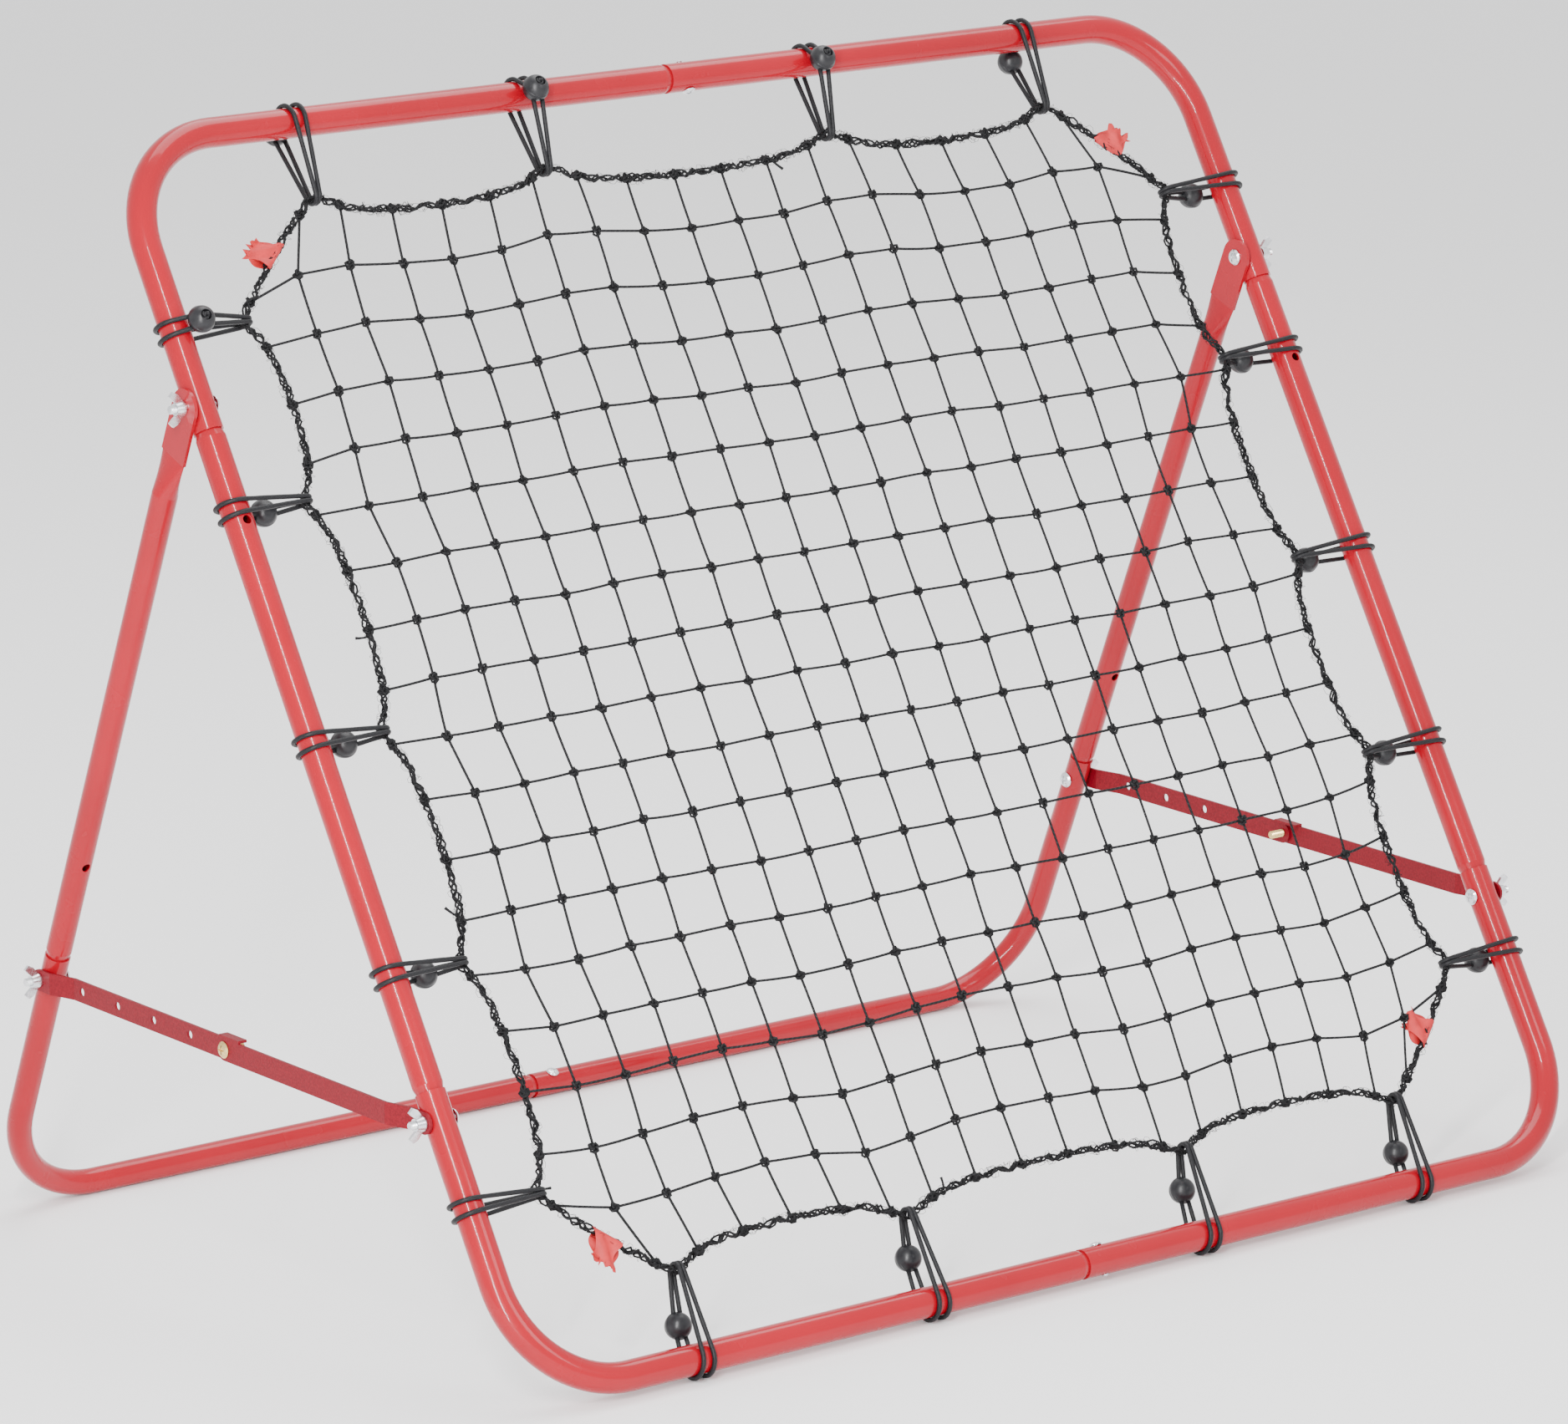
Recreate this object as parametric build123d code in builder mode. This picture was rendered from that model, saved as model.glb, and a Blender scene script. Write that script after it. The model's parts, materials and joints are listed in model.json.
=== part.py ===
from build123d import *
import os
from math import acos, asin, atan2, cos, degrees, hypot, pi, radians, sin

os.makedirs("parts", exist_ok=True)

# ---- driving sizes, all in millimetres ----
frame_width = 1000.0         # front frame, over the tubes
frame_height = 955.0         # front frame, along its lean, over the tubes
frame_tube = 22.0            # front frame tube, outside diameter
frame_wall = 1.2
stand_tube = 19.0            # stand tube, outside diameter
stand_wall = 1.2
corner_radius = 82.0         # all rounded corners, on the tube's centre line
pivot_height = 733.0         # bottom bar to upper pivot, along the frame
leg_length = 688.0           # floor bar to upper pivot, along the leg
brace_height = 202.0         # lower bars to strut bolts, along frame and leg

# telescoping side struts
bar_width = 16.0
bar_thick = 2.0
hole_pitch = 46.0            # rear strut bolt to first hole, and hole to hole
hole_count = 5
front_bar_reach = 230.0      # front strut bolt to locking screw
bar_overhang = 8.0           # bar beyond its last hole
joggle_start = 14.0          # where a bar begins to step sideways, from its bolt
joggle_end = 36.0
lip_length = 24.0            # folded lip over the rear bar's top edge
lip_reach = 5.0              # how far the lip comes over
row_gap = 0.2                # radial, locking screw in the bars' holes

# tube joints
seam_margin = 20.0           # tube end beyond the bolt that pins the joint
swage_length = 5.0           # cone down to the reduced end
neck_length = 44.0           # reduced end inside its neighbour
neck_gap = 0.05
joint_screw_set = 18.0       # tube end to joint screw
flat_straight = 40.0         # flattened leg end, pivot to where it swells
flat_swell = 30.0            # from flat back to round
flat_thick = 2.6

# fasteners
bolt_size = 6.0              # strut and pivot bolts
bolt_hole_gap = 0.08         # radial, running fit on a bolt
joint_screw_size = 4.8
joint_tip_out = 1.0          # screw end beyond a tube that stays off the floor
floor_tip_out = -0.8         # screw end short of the wall of the bar on the floor
joint_head_gap = 0.1         # screw head to its tube
joint_thread = 3.0
joint_head_rise = 2.2
lock_length = 16.0           # locking screw under its head
lock_thread = 11.0
lock_head_rise = 2.6
head_ratio = 1.02            # head radius over bolt diameter
head_dome = ((0.0, 1.0), (0.45, 0.93), (0.8, 0.62), (1.0, 0.2))    # shares of radius and rise
thread_share = 0.45          # groove depth over pitch
tip_share = 0.6              # bevel at a screw's tip over pitch
cross_length = 1.1           # cross recess over the head's radius
cross_width = 0.16           # over the screw's diameter
cross_depth = 0.55           # over the head's rise
head_rise = 3.2
nut_height = 7.0
nut_stub = 4.0               # bolt end beyond the wing nut
nut_foot = 0.92              # nut's foot radius over bolt diameter
nut_neck = 0.75              # nut's top radius over bolt diameter
nut_step = 1.2               # straight foot before the taper
wing_span = 25.0
wing_rise = 12.0
wing_thick = 2.4
wing_root = 1.5              # where a wing starts, from the bolt's centre
wing_foot = 1.0              # wing's lower edge above the seat
wing_sweep = 0.42            # knee of a wing, share of its span and rise
face_gap = 0.3               # between faces that turn on each other

# hanging holes
hang_hole = 6.5
frame_hang_height = 643.0    # along the frame
leg_hang_height = 305.0      # along the leg

# net, hem and bungees
net_margin_side = 54.0       # tube centre line to hem at a bungee
net_margin_top = 54.0
net_margin_bottom = 60.0
left_lowest = 137.2          # lowest side bungees, up from the bottom bar
right_lowest = 156.7
scallop_depth = 21.0         # hem pulled in between two bungees
shoulder_depth = 11.0
shoulder_run = 15.0
tie_radius = 8.0             # bend of the hem where a bungee holds it
shoulder_radius = 8.0
scallop_radius = 40.0
corner_shoulder = 2.0        # shoulders on the short runs across the corners
corner_run = 20.0            # a run that moves this much both ways crosses a corner
hem_size = 5.0
net_thick = 2.0
cord_size = 3.5
ball_size = 19.5
cord_gap = 0.4               # cord to tube and ball
eye_gap = 3.0                # cord to hem
net_gap = 2.3                # net's edge to hem
cord_spread = 4.5            # strand to bungee's middle, on the tube
ball_socket_depth = 3.5
ball_socket_gap = 0.25       # radial, cord in its socket
strand_gap = 0.1             # between a bungee's strands at the hem
tag_length = 14.0
tag_tail = 11.0
tag_thick = 0.6
tag_gap = 1.0
corner_bulge = 4.0           # hem bows out across the net's corners

# worked-out sizes
frame_r = frame_tube / 2
stand_r = stand_tube / 2
half_width = (frame_width - frame_tube) / 2
line_height = frame_height - frame_tube
hole_row = hole_pitch * hole_count
strut_length = hole_row + front_bar_reach
front_side = pivot_height - brace_height
rear_side = leg_length - brace_height
apex = acos((front_side**2 + rear_side**2 - strut_length**2) / (2 * front_side * rear_side))
base = (pivot_height**2 + leg_length**2 - 2 * pivot_height * leg_length * cos(apex)) ** 0.5
front_corner = acos((pivot_height**2 + base**2 - leg_length**2) / (2 * pivot_height * base))
cord_close = (cord_size + strand_gap) / 2      # strand to bungee's middle, at the hem
rest_height = frame_r + cord_size + cord_gap   # the bottom bar stands on its bungees
floor_slope = asin((rest_height - stand_r) / base)
lean = pi / 2 - front_corner + floor_slope
stand_shift = -(frame_r + face_gap + flat_thick / 2)

# ---- places: the frame's plane, the stand's plane and the pins across them ----
front_plane = Plane(origin=(0, 0, rest_height), x_dir=(1, 0, 0), z_dir=(0, -cos(lean), sin(lean)))
pivot_y = pivot_height * sin(lean)
pivot_z = rest_height + pivot_height * cos(lean)
floor_bar_y = base * cos(floor_slope)
leg_angle = atan2(floor_bar_y - pivot_y, pivot_z - stand_r)
stand_plane = Plane(
    origin=(stand_shift, floor_bar_y, stand_r),
    x_dir=(1, 0, 0),
    z_dir=(0, -cos(leg_angle), -sin(leg_angle)),
)
front_bolt_y = brace_height * sin(lean)
front_bolt_z = rest_height + brace_height * cos(lean)
rear_bolt_y = floor_bar_y - brace_height * sin(leg_angle)
rear_bolt_z = stand_r + brace_height * cos(leg_angle)
bar_dir = ((rear_bolt_y - front_bolt_y) / strut_length, (rear_bolt_z - front_bolt_z) / strut_length)
lock_y = front_bolt_y + front_bar_reach * bar_dir[0]
lock_z = front_bolt_z + front_bar_reach * bar_dir[1]

pieces = []


def keep(piece, name):
    piece.part.label = name
    pieces.append(piece.part)


def along(plane, u, v, w=0.0):
    return plane.from_local_coords(Vector(u, v, w))


def cross_seat(plane, u, v, axis):
    """Plane at a point of a frame, with the given axis as its normal."""
    return Plane(origin=along(plane, u, v), x_dir=(1, 0, 0), z_dir=axis)


def across(x, y, z, side=1):
    """Plane whose normal runs along X, outward on the given side."""
    return Plane(origin=(x, y, z), x_dir=(0, 0, 1), z_dir=(side, 0, 0))


def lathe_plane(seat):
    """Plane holding the seat's axis: local x is the radius, local y runs along the axis."""
    return Plane(origin=seat.origin, x_dir=seat.x_dir, z_dir=-seat.y_dir)


def cut_hole(seat, radius):
    """Round hole right through the tube that the seat's axis crosses."""
    with BuildSketch(seat) as hole:
        Circle(radius)
    extrude(hole.sketch, amount=frame_tube, both=True, mode=Mode.SUBTRACT)


def add_neck(end, tube, wall):
    """Cone and reduced end that slide into the next tube."""
    outer = tube / 2
    inner = outer - wall
    neck = inner - neck_gap
    with BuildSketch(lathe_plane(end)) as profile:
        with BuildLine():
            Polyline(
                (inner, 0),
                (outer, 0),
                (neck, swage_length),
                (neck, swage_length + neck_length),
                (neck - wall, swage_length + neck_length),
                (neck - wall, swage_length),
                (inner, 0),
            )
        make_face()
    revolve(profile.sketch, axis=Axis(end.origin, end.z_dir))


def tube_along(plane, points, tube, wall, necks, holes):
    """Bent tube through the points of a plane, with reduced ends and cross holes."""
    corners = [along(plane, u, v) for u, v in points]
    with BuildPart() as piece:
        with BuildLine() as path:
            if len(corners) > 2:
                FilletPolyline(*corners, radius=corner_radius)
            else:
                Line(*corners)
        start = Plane(origin=path.line @ 0, z_dir=path.line % 0)
        with BuildSketch(start):
            Circle(tube / 2)
            Circle(tube / 2 - wall, mode=Mode.SUBTRACT)
        sweep(path=path.line)
        if necks[0]:
            add_neck(Plane(origin=path.line @ 0, z_dir=-(path.line % 0)), tube, wall)
        if necks[1]:
            add_neck(Plane(origin=path.line @ 1, z_dir=path.line % 1), tube, wall)
        for seat, hole_radius in holes:
            cut_hole(seat, hole_radius)
    return piece


# ---- front frame ----
bolt_r = bolt_size / 2
pin_hole_r = bolt_r + bolt_hole_gap
low_seam = brace_height + seam_margin
high_seam = pivot_height - seam_margin
joint_hole_r = joint_screw_size / 2 + bolt_hole_gap

for side, word in ((-1, "left"), (1, "right")):
    edge = side * half_width
    centre_end = -swage_length if side < 0 else 0.0
    upper_pin = (across(edge, pivot_y, pivot_z), pin_hole_r)
    lower_pin = (across(edge, front_bolt_y, front_bolt_z), pin_hole_r)
    for name, height, seam, pin in (
        ("top", line_height, high_seam, upper_pin),
        ("bottom", 0.0, low_seam, lower_pin),
    ):
        joint = cross_seat(front_plane, joint_screw_set, height, front_plane.y_dir)
        route = [(edge, seam), (edge, height), (centre_end, height)]
        holes = [pin, (joint, joint_hole_r)]
        tube = tube_along(front_plane, route, frame_tube, frame_wall, (False, side < 0), holes)
        keep(tube, f"{name}_{word}_corner_tube")

    hang = cross_seat(front_plane, edge, frame_hang_height, front_plane.z_dir)
    route = [(edge, low_seam + swage_length), (edge, high_seam - swage_length)]
    holes = [upper_pin, lower_pin, (hang, hang_hole / 2)]
    rail = tube_along(front_plane, route, frame_tube, frame_wall, (True, True), holes)
    keep(rail, f"{word}_side_tube")

# ---- rear stand ----
plate_r = pi * (stand_tube - stand_wall) / 4
leg_seam = brace_height + seam_margin


def upper_leg(side):
    """Straight leg: reduced lower end, round tube, then pressed flat round the pivot."""
    edge = side * half_width
    foot = cross_seat(stand_plane, edge, leg_seam + swage_length, stand_plane.y_dir)
    swell = cross_seat(stand_plane, edge, leg_length - flat_straight - flat_swell, stand_plane.y_dir)
    knee = swell.offset(flat_swell)
    eye = along(stand_plane, edge, leg_length)
    flat = Plane(origin=eye, x_dir=stand_plane.y_dir, z_dir=(1, 0, 0))
    with BuildPart() as leg:
        with BuildSketch(foot):
            Circle(stand_r)
            Circle(stand_r - stand_wall, mode=Mode.SUBTRACT)
        extrude(amount=(swell.origin - foot.origin).length)
        add_neck(Plane(origin=foot.origin, z_dir=-foot.z_dir), stand_tube, stand_wall)
        with BuildSketch(swell):
            Circle(stand_r)
        with BuildSketch(knee):
            Ellipse(flat_thick / 2, plate_r)
        loft()
        with BuildSketch(flat):
            Circle(plate_r)
            with Locations((-flat_straight / 2, 0)):
                Rectangle(flat_straight, 2 * plate_r)
        extrude(amount=flat_thick / 2, both=True)
        cut_hole(flat, pin_hole_r)
        cut_hole(across(stand_shift + edge, rear_bolt_y, rear_bolt_z), pin_hole_r)
        cut_hole(cross_seat(stand_plane, edge, leg_hang_height, stand_plane.z_dir), hang_hole / 2)
    return leg


for side, word in ((-1, "left"), (1, "right")):
    edge = side * half_width
    centre_end = -swage_length if side < 0 else 0.0
    keep(upper_leg(side), f"{word}_upper_leg")
    pin = across(stand_shift + edge, rear_bolt_y, rear_bolt_z)
    joint = cross_seat(stand_plane, joint_screw_set, 0.0, stand_plane.y_dir)
    route = [(edge, leg_seam), (edge, 0.0), (centre_end, 0.0)]
    holes = [(pin, pin_hole_r), (joint, joint_hole_r)]
    foot = tube_along(stand_plane, route, stand_tube, stand_wall, (False, side < 0), holes)
    keep(foot, f"{word}_stand_corner_tube")


# ---- struts: strap bars drawn in their own plane ----
def strap(origin, direction, start_x, step, end_x, length, holes, end_hole):
    """Flat bar from a bolt: origin (y, z), face at start_x, stepping over to end_x."""
    run = (0, direction[0], direction[1])
    edge_on = Plane(origin=(0, *origin), x_dir=run, z_dir=(0, direction[1], -direction[0]))
    face_on = Plane(origin=(0, *origin), x_dir=run, z_dir=(1, 0, 0))
    tip = length + bar_overhang
    with BuildPart() as bar:
        with BuildSketch(edge_on):
            with BuildLine():
                Polyline(
                    (-bar_overhang, start_x),
                    (step[0], start_x),
                    (step[1], end_x),
                    (tip, end_x),
                    (tip, end_x + bar_thick),
                    (step[1], end_x + bar_thick),
                    (step[0], start_x + bar_thick),
                    (-bar_overhang, start_x + bar_thick),
                    (-bar_overhang, start_x),
                )
            make_face()
        extrude(amount=bar_width / 2, both=True)
        with BuildSketch(face_on):
            with Locations((length / 2, 0)):
                SlotCenterToCenter(length, bar_width)
        extrude(amount=frame_width, both=True, mode=Mode.INTERSECT)
        with BuildSketch(face_on):
            Circle(pin_hole_r)
            with Locations(*[(place, 0) for place in holes]):
                Circle(end_hole)
        extrude(amount=frame_width, both=True, mode=Mode.SUBTRACT)
    return bar


def add_lip(origin, direction, bar_x, low_x):
    """Folded lip that stands up from the front bar and reaches over the rear bar."""
    run = (0, direction[0], direction[1])
    face_on = Plane(origin=(0, *origin), x_dir=run, z_dir=(1, 0, 0))
    middle = front_bar_reach - lip_length / 4
    with BuildSketch(face_on.offset(bar_x)) as upstand:
        with Locations((middle, bar_width / 2)):
            Rectangle(lip_length, 2 * face_gap)
    extrude(upstand.sketch, amount=bar_thick)
    with BuildSketch(face_on.offset(low_x)) as lip:
        with Locations((middle, bar_width / 2 + face_gap + bar_thick / 2)):
            Rectangle(lip_length, bar_thick)
    extrude(lip.sketch, amount=bar_thick + face_gap + lip_reach)


lock_r = bolt_size / 2
row_hole_r = lock_r + row_gap
row = [hole_pitch * (step + 1) for step in range(hole_count)]
front_step = (joggle_start, joggle_end)
rear_dir = (-bar_dir[0], -bar_dir[1])

strut_faces = {}
for side, word in ((-1, "left"), (1, "right")):
    front_face = side * (half_width + frame_r + face_gap)
    rear_face = stand_shift + side * (half_width + stand_r + face_gap)
    mid = (front_face + rear_face) / 2
    # the front bar lies outboard of the rear bar where they overlap
    outer_face = mid + side * (face_gap / 2 + bar_thick / 2)
    inner_face = outer_face - side * (bar_thick + face_gap)
    low = 0.0 if side > 0 else -bar_thick
    front_bar = strap(
        (front_bolt_y, front_bolt_z), bar_dir,
        front_face + low, front_step, outer_face + low,
        front_bar_reach, [front_bar_reach], row_hole_r,
    )
    lip_low = outer_face + low - (side > 0) * (face_gap + lip_reach)
    with front_bar:
        add_lip((front_bolt_y, front_bolt_z), bar_dir, outer_face + low, lip_low)
    keep(front_bar, f"{word}_strut_front_bar")
    rear_bar = strap(
        (rear_bolt_y, rear_bolt_z), rear_dir,
        rear_face + low, front_step, inner_face + low,
        hole_row, row, row_hole_r,
    )
    keep(rear_bar, f"{word}_strut_rear_bar")
    strut_faces[side] = (front_face, rear_face, outer_face)


# ---- fasteners ----
def screw(seat, size, length, threaded, rise):
    """Domed cross-head screw: head below the seat, shank up its axis."""
    shank = size / 2
    head = head_ratio * size
    pitch = size / 6
    turns = int(threaded / pitch)
    tip = pitch * tip_share
    profile = [(head * reach, -rise * up) for reach, up in head_dome]
    profile += [(head, 0), (shank, 0), (shank, length - turns * pitch)]
    for turn in range(turns):
        foot = length - (turns - turn) * pitch
        profile += [(shank - pitch * thread_share, foot + pitch / 2), (shank, foot + pitch)]
    profile += [(shank - tip, length + tip), (0, length + tip), (0, -rise)]
    with BuildPart() as piece:
        with BuildSketch(lathe_plane(seat)):
            with BuildLine():
                Polyline(*profile)
            make_face()
        revolve(axis=Axis(seat.origin, seat.z_dir))
        with BuildSketch(seat.offset(-rise)):
            Rectangle(head * cross_length, size * cross_width)
            Rectangle(size * cross_width, head * cross_length)
        extrude(amount=rise * cross_depth, mode=Mode.SUBTRACT)
    return piece


def wing_nut(seat):
    """Cast wing nut standing on the seat, with a clear bore round the bolt."""
    base_r = bolt_size * nut_foot
    top_r = bolt_size * nut_neck
    shoulder = nut_height - wing_foot / 2
    corner = wing_span / 8
    with BuildPart() as piece:
        with BuildSketch(lathe_plane(seat)):
            with BuildLine():
                Polyline(
                    (0, 0),
                    (base_r, 0),
                    (base_r, nut_step),
                    (top_r, nut_height),
                    (0, nut_height),
                    (0, 0),
                )
            make_face()
        revolve(axis=Axis(seat.origin, seat.z_dir))
        with BuildSketch(lathe_plane(seat)):
            for hand in (-1, 1):
                with BuildLine():
                    Polyline(
                        (hand * wing_root, wing_foot),
                        (hand * base_r, wing_foot),
                        (hand * wing_span * wing_sweep, wing_rise * wing_sweep),
                        (hand * wing_span / 2, wing_rise - corner),
                        (hand * (wing_span / 2 - corner), wing_rise),
                        (hand * (wing_span / 2 - 2 * corner), wing_rise - corner),
                        (hand * top_r, shoulder),
                        (hand * wing_root, shoulder),
                        (hand * wing_root, wing_foot),
                    )
                make_face()
        extrude(amount=wing_thick / 2, both=True)
        with BuildSketch(seat):
            Circle(pin_hole_r)
        extrude(amount=2 * nut_height, both=True, mode=Mode.SUBTRACT)
    return piece


def pinned(word, name, side, y, z, inner_x, outer_x):
    """Bolt along X with its head inboard and a wing nut on the outboard end."""
    grip = abs(outer_x - inner_x) + face_gap
    head_seat = across(inner_x, y, z, side)
    bolt = screw(head_seat, bolt_size, grip + nut_height + nut_stub, nut_stub, head_rise)
    keep(bolt, f"{word}_{name}_bolt")
    keep(wing_nut(across(outer_x + side * face_gap, y, z, side)), f"{word}_{name}_wing_nut")


for side, word in ((-1, "left"), (1, "right")):
    front_face, rear_face, outer_face = strut_faces[side]
    edge = side * half_width
    inner = edge - side * (frame_r + face_gap)
    plate_x = edge + stand_shift
    if side < 0:
        pinned(word, "pivot", side, pivot_y, pivot_z, inner, plate_x - flat_thick / 2)
    else:
        pinned(word, "pivot", side, pivot_y, pivot_z, plate_x - flat_thick / 2 - face_gap, edge + frame_r)
    pinned(word, "front_strut", side, front_bolt_y, front_bolt_z, inner, front_face + side * bar_thick)
    leg_inner = stand_shift + edge - side * (stand_r + face_gap)
    pinned(word, "rear_strut", side, rear_bolt_y, rear_bolt_z, leg_inner, rear_face + side * bar_thick)
    lock_seat = across(outer_face + side * (bar_thick + face_gap / 2), lock_y, lock_z, -side)
    keep(screw(lock_seat, bolt_size, lock_length, lock_thread, lock_head_rise), f"{word}_locking_screw")


def joint_screw(plane, height, tube_r, side, tip_out):
    """Screw through a middle joint, head towards the inside of the loop."""
    seat_at = along(plane, joint_screw_set, height - side * (tube_r + joint_head_gap))
    seat = Plane(origin=seat_at, x_dir=(1, 0, 0), z_dir=plane.y_dir * side)
    return screw(seat, joint_screw_size, 2 * tube_r + tip_out, joint_thread, joint_head_rise)


keep(joint_screw(front_plane, line_height, frame_r, 1, joint_tip_out), "top_joint_screw")
keep(joint_screw(front_plane, 0.0, frame_r, -1, joint_tip_out), "bottom_joint_screw")
keep(joint_screw(stand_plane, 0.0, stand_r, -1, floor_tip_out), "stand_joint_screw")

# ---- net and hem: tied at eighteen points ----
tie_top = line_height - net_margin_top
tie_bottom = net_margin_bottom
tie_side = half_width - net_margin_side
# shares of the half width along the top and bottom, and of the height up the sides, where
# the lowest bungee has a height of its own, below the strut
top_places = (-0.692, -0.273, 0.267, 0.697)
bottom_places = (-0.697, -0.274, 0.258, 0.683)
left_places = (0.329, 0.513, 0.700, 0.846)
right_places = (0.352, 0.524, 0.701, 0.850)
top_ties = [(share * half_width, tie_top) for share in top_places]
bottom_ties = [(share * half_width, tie_bottom) for share in bottom_places]
left_heights = [left_lowest] + [share * line_height for share in left_places]
right_heights = [right_lowest] + [share * line_height for share in right_places]
left_ties = [(-tie_side, height) for height in left_heights]
right_ties = [(tie_side, height) for height in right_heights]
ring = top_ties + right_ties[::-1] + bottom_ties[::-1] + left_ties


def hem_route(inset):
    """Corner points and fillet radii of the scalloped edge, clockwise, moved in by inset."""
    points = []
    radii = []
    for number, here in enumerate(ring):
        there = ring[(number + 1) % len(ring)]
        run = Vector(there[0] - here[0], there[1] - here[1])
        inward = Vector(run.Y, -run.X).normalized()
        along_run = run.normalized()
        corner = abs(run.X) > corner_run and abs(run.Y) > corner_run
        deep = -corner_bulge if corner else scallop_depth
        shoulder = corner_shoulder if corner else shoulder_depth
        start = Vector(*here)
        finish = Vector(*there)
        centre = (start + finish) * 0.5
        pull_in = (Vector(0, line_height / 2) - start).normalized() * inset
        stops = [
            (start + pull_in, tie_radius),
            (start + along_run * shoulder_run + inward * (shoulder + inset), shoulder_radius),
            (centre + inward * (deep + inset), scallop_radius),
            (finish - along_run * shoulder_run + inward * (shoulder + inset), shoulder_radius),
        ]
        for place, radius in stops:
            points.append((place.X, place.Y))
            radii.append(radius)
    return points, radii


hem_points, hem_radii = hem_route(0.0)
stops_per_tie = len(hem_points) // len(ring)


def tie_sink(tie):
    """How far the hem's bend at a tie brings its centre inside the tie's own point."""
    number = stops_per_tie * ring.index(tie)
    before, here, after = (Vector(*hem_points[number + step]) for step in (-1, 0, 1))
    half_turn = radians((here - before).get_angle(after - here)) / 2
    return tie_radius * (1 / cos(half_turn) - 1)


deepest_sink = max(tie_sink(tie) for tie in ring)
with BuildPart() as hem:
    with BuildLine() as hem_path:
        hem_stops = [along(front_plane, u, v) for u, v in hem_points]
        FilletPolyline(*hem_stops, radius=hem_radii, close=True)
    with BuildSketch(Plane(origin=hem_path.line @ 0, z_dir=hem_path.line % 0)):
        Circle(hem_size / 2)
    sweep(path=hem_path.line)
keep(hem, "net_hem_cord")

edge_points, edge_radii = hem_route(hem_size / 2 + net_gap)
with BuildPart() as net:
    with BuildSketch(front_plane):
        with BuildLine():
            FilletPolyline(*edge_points, radius=edge_radii, close=True)
        make_face()
    extrude(amount=net_thick / 2, both=True)
    with BuildSketch(front_plane):
        with Locations(*ring):
            Circle(hem_size / 2 + cord_size + eye_gap + deepest_sink + 2 * face_gap + cord_close)
    extrude(amount=net_thick, both=True, mode=Mode.SUBTRACT)
keep(net, "net")


# ---- bungees: a doubled loop round the tube and the hem, ends held in a ball ----
def hull_turn(first, second):
    """Tangent from one circle to the next, walking with the inside on the left."""
    (ax, ay, ar), (bx, by, br) = first, second
    gap = hypot(bx - ax, by - ay)
    aim = atan2(by - ay, bx - ax) - acos((ar - br) / gap)
    leave = (ax + ar * cos(aim), ay + ar * sin(aim))
    reach = (bx + br * cos(aim), by + br * sin(aim))
    return leave, reach, aim


def arc_middle(circle, from_angle, to_angle):
    turn = (to_angle - from_angle) % (2 * pi)
    middle = from_angle + turn / 2
    return (circle[0] + circle[2] * cos(middle), circle[1] + circle[2] * sin(middle))


def bungee(tube_at, hem_at, rail, ball_angle, ball_off, front):
    """Both strands and the ball. front is +1 with the ball before the frame, -1 behind it."""
    sideways = Vector(*rail)
    rim = (0.0, 0.0, frame_r + cord_size / 2 + cord_gap)
    ball_out = frame_r + ball_size / 2 + cord_gap + ball_off
    ball_at = (ball_out * cos(ball_angle), ball_out * sin(ball_angle), 0.0)
    strands = []
    for hand in (-1, 1):
        start = Vector(*tube_at) + sideways * hand * cord_spread
        finish = Vector(*hem_at) + sideways * hand * cord_close
        span = finish - start
        eye = (span.length + tie_sink(hem_at), 0.0, hem_size / 2 + cord_size / 2 + eye_gap)
        direction = span.normalized()
        flat = Plane(
            origin=along(front_plane, start.X, start.Y),
            x_dir=front_plane.x_dir * direction.X + front_plane.y_dir * direction.Y,
            z_dir=(front_plane.x_dir * direction.X + front_plane.y_dir * direction.Y).cross(
                front_plane.z_dir * front
            ),
        )
        out_leave, rim_reach, rim_in = hull_turn(ball_at, rim)
        rim_leave, eye_reach, rim_out = hull_turn(rim, eye)
        eye_leave, ball_reach, eye_out = hull_turn(eye, ball_at)
        into = Vector(rim_reach[0] - ball_at[0], rim_reach[1] - ball_at[1]).normalized()
        back = Vector(eye_leave[0] - ball_at[0], eye_leave[1] - ball_at[1]).normalized()
        depth = ball_size / 2 - ball_socket_depth
        head = (ball_at[0] + into.X * depth, ball_at[1] + into.Y * depth)
        tail = (ball_at[0] + back.X * depth, ball_at[1] + back.Y * depth)
        with BuildPart() as strand:
            with BuildLine(flat) as route:
                Line(head, rim_reach)
                ThreePointArc(rim_reach, arc_middle(rim, rim_in, rim_out), rim_leave)
                Line(rim_leave, eye_reach)
                ThreePointArc(eye_reach, arc_middle(eye, rim_out, eye_out), eye_leave)
                Line(eye_leave, tail)
            with BuildSketch(Plane(origin=route.line @ 0, z_dir=route.line % 0)):
                Circle(cord_size / 2)
            sweep(path=route.line)
        strands.append((strand.part, flat, into, back))
    # the ball sits midway between its two strands
    first, second = strands[0][1], strands[1][1]
    local = Vector(ball_at[0], ball_at[1], 0)
    centre = (first.from_local_coords(local) + second.from_local_coords(local)) * 0.5
    with BuildPart(Plane(origin=centre, z_dir=front_plane.z_dir)) as ball:
        Sphere(ball_size / 2)
        for part, flat, into, back in strands:
            middle = flat.from_local_coords(local)
            for way in (into, back):
                aim = flat.x_dir * way.X + flat.y_dir * way.Y
                mouth = middle + aim * (ball_size / 2 - ball_socket_depth - cord_gap)
                with BuildSketch(Plane(origin=mouth, z_dir=aim)):
                    Circle(cord_size / 2 + ball_socket_gap)
                extrude(amount=ball_size, mode=Mode.SUBTRACT)
    return [strands[0][0], strands[1][0]], ball.part


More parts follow.
